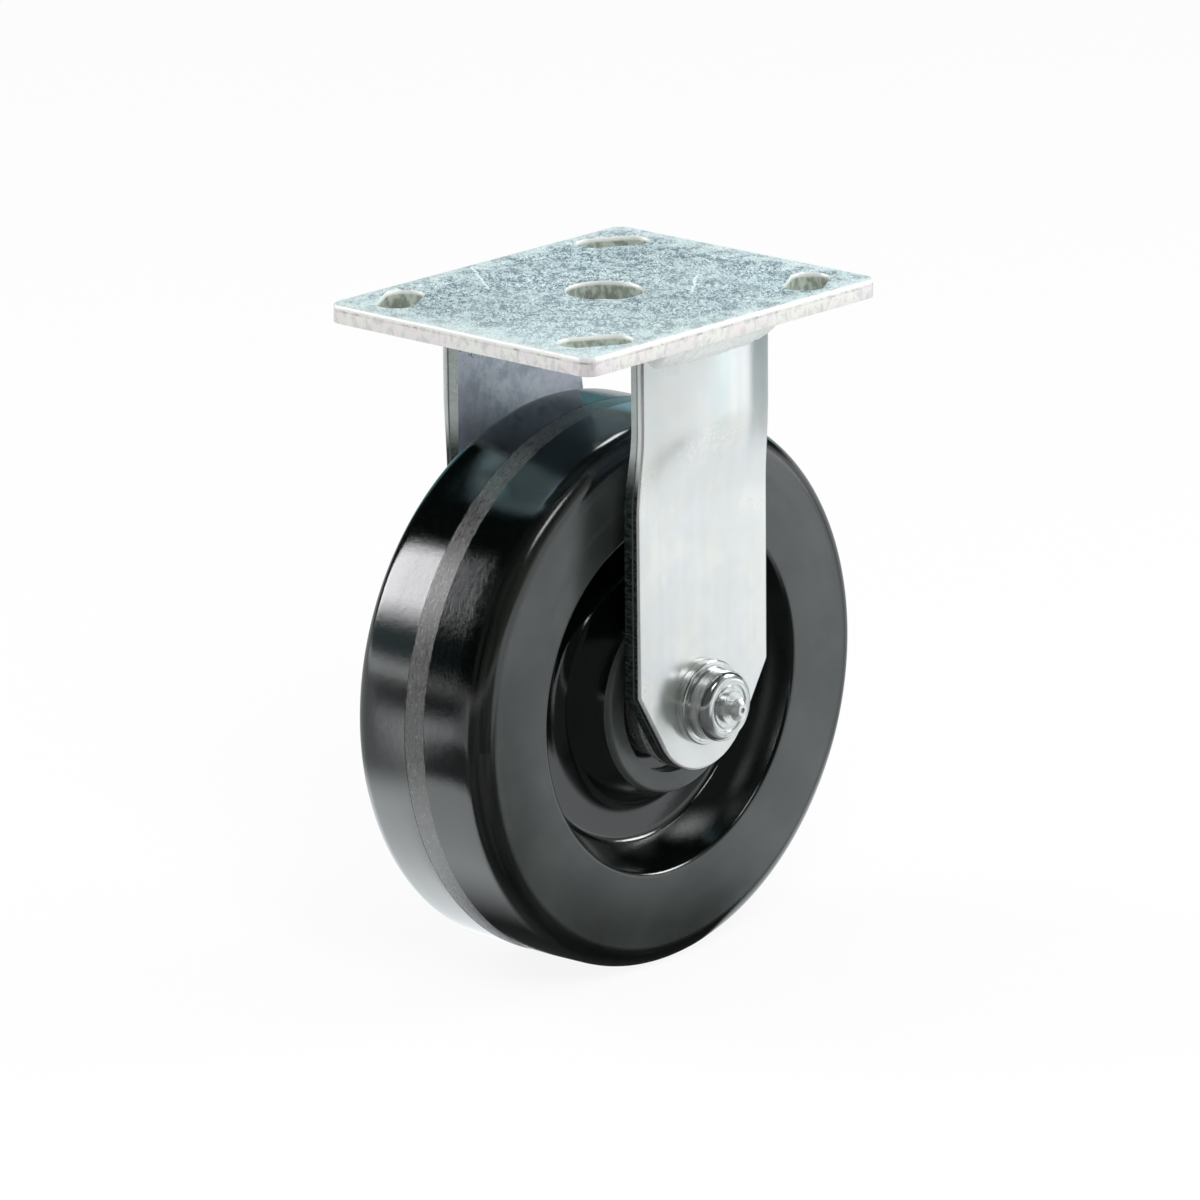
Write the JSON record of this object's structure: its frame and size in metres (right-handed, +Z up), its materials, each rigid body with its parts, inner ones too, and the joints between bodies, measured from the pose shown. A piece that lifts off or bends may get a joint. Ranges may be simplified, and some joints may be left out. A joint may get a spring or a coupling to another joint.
{
  "type": "fixed castor",
  "caption": "Fixed plate castor: slotted top plate, two pressed and welded legs and a black moulded wheel turning on a greased roller bearing.",
  "frame": {"origin": "centre of the top plate's upper face", "axes": "+X the rolling direction, +Y along the axle towards the lock nut, +Z up, out of the plate's upper face"},
  "size_m": [0.1524, 0.0999, 0.1836],
  "materials": {
    "plate_zinc": "mottled satin zinc plate",
    "leg_zinc": "satin zinc plate",
    "weld_metal": "zinc-plated weld bead",
    "bolt_zinc": "bright zinc plate, turned",
    "nipple_steel": "bright plated",
    "ball_steel": "polished",
    "nut_zinc": "bright zinc plate",
    "ring_plastic": "off-white nylon",
    "sleeve_steel": "ground steel, oiled",
    "washer_steel": "plain plated steel",
    "cage_steel": "pressed steel, oiled",
    "roller_steel": "ground and polished",
    "race_steel": "drawn steel tube, oiled",
    "phenolic": "glossy moulded phenolic, ground parting band"
  },
  "bodies": {
    "fork": {"top_plate": "plate_zinc", "right_leg": "leg_zinc", "left_leg": "leg_zinc", "right_weld": "weld_metal", "left_weld": "weld_metal", "axle_bolt": "bolt_zinc", "grease_nipple": "nipple_steel", "nipple_ball": "ball_steel", "lock_nut": "nut_zinc", "nut_ring": "ring_plastic", "inner_sleeve": "sleeve_steel", "right_thrust_washer": "washer_steel", "left_thrust_washer": "washer_steel"},
    "wheel": {"wheel": "phenolic", "bearing_race": "race_steel"},
    "cage": {"roller_cage": "cage_steel"},
    "roller_1": {"roller_1": "roller_steel"},
    "roller_2": {"roller_2": "roller_steel"},
    "roller_3": {"roller_3": "roller_steel"},
    "roller_4": {"roller_4": "roller_steel"},
    "roller_5": {"roller_5": "roller_steel"},
    "roller_6": {"roller_6": "roller_steel"},
    "roller_7": {"roller_7": "roller_steel"},
    "roller_8": {"roller_8": "roller_steel"}
  },
  "joints": [
    {"name": "wheel_spin", "type": "hinge", "parent": "fork", "child": "wheel", "pos_m": [0, 0, -0.1074], "axis": [0, 1, 0], "continuous": true},
    {"name": "cage_spin", "type": "hinge", "parent": "fork", "child": "cage", "pos_m": [0, 0, -0.1074], "axis": [0, 1, 0], "continuous": true},
    {"name": "roller_1_spin", "type": "hinge", "parent": "cage", "child": "roller_1", "pos_m": [0.01232, 0, -0.1074], "axis": [0, 1, 0], "continuous": true},
    {"name": "roller_2_spin", "type": "hinge", "parent": "cage", "child": "roller_2", "pos_m": [0.00872, 0, -0.09868], "axis": [0, 1, 0], "continuous": true},
    {"name": "roller_3_spin", "type": "hinge", "parent": "cage", "child": "roller_3", "pos_m": [0, 0, -0.09508], "axis": [0, 1, 0], "continuous": true},
    {"name": "roller_4_spin", "type": "hinge", "parent": "cage", "child": "roller_4", "pos_m": [-0.00872, 0, -0.09868], "axis": [0, 1, 0], "continuous": true},
    {"name": "roller_5_spin", "type": "hinge", "parent": "cage", "child": "roller_5", "pos_m": [-0.01232, 0, -0.1074], "axis": [0, 1, 0], "continuous": true},
    {"name": "roller_6_spin", "type": "hinge", "parent": "cage", "child": "roller_6", "pos_m": [-0.00872, 0, -0.11612], "axis": [0, 1, 0], "continuous": true},
    {"name": "roller_7_spin", "type": "hinge", "parent": "cage", "child": "roller_7", "pos_m": [0, 0, -0.11972], "axis": [0, 1, 0], "continuous": true},
    {"name": "roller_8_spin", "type": "hinge", "parent": "cage", "child": "roller_8", "pos_m": [0.00872, 0, -0.11612], "axis": [0, 1, 0], "continuous": true}
  ],
  "couplings": [
    {"joint": "cage_spin", "follows": "wheel_spin", "ratio": 0.61359},
    {"joint": "roller_1_spin", "follows": "wheel_spin", "ratio": 2.1067},
    {"joint": "roller_2_spin", "follows": "wheel_spin", "ratio": 2.1067},
    {"joint": "roller_3_spin", "follows": "wheel_spin", "ratio": 2.1067},
    {"joint": "roller_4_spin", "follows": "wheel_spin", "ratio": 2.1067},
    {"joint": "roller_5_spin", "follows": "wheel_spin", "ratio": 2.1067},
    {"joint": "roller_6_spin", "follows": "wheel_spin", "ratio": 2.1067},
    {"joint": "roller_7_spin", "follows": "wheel_spin", "ratio": 2.1067},
    {"joint": "roller_8_spin", "follows": "wheel_spin", "ratio": 2.1067}
  ]
}
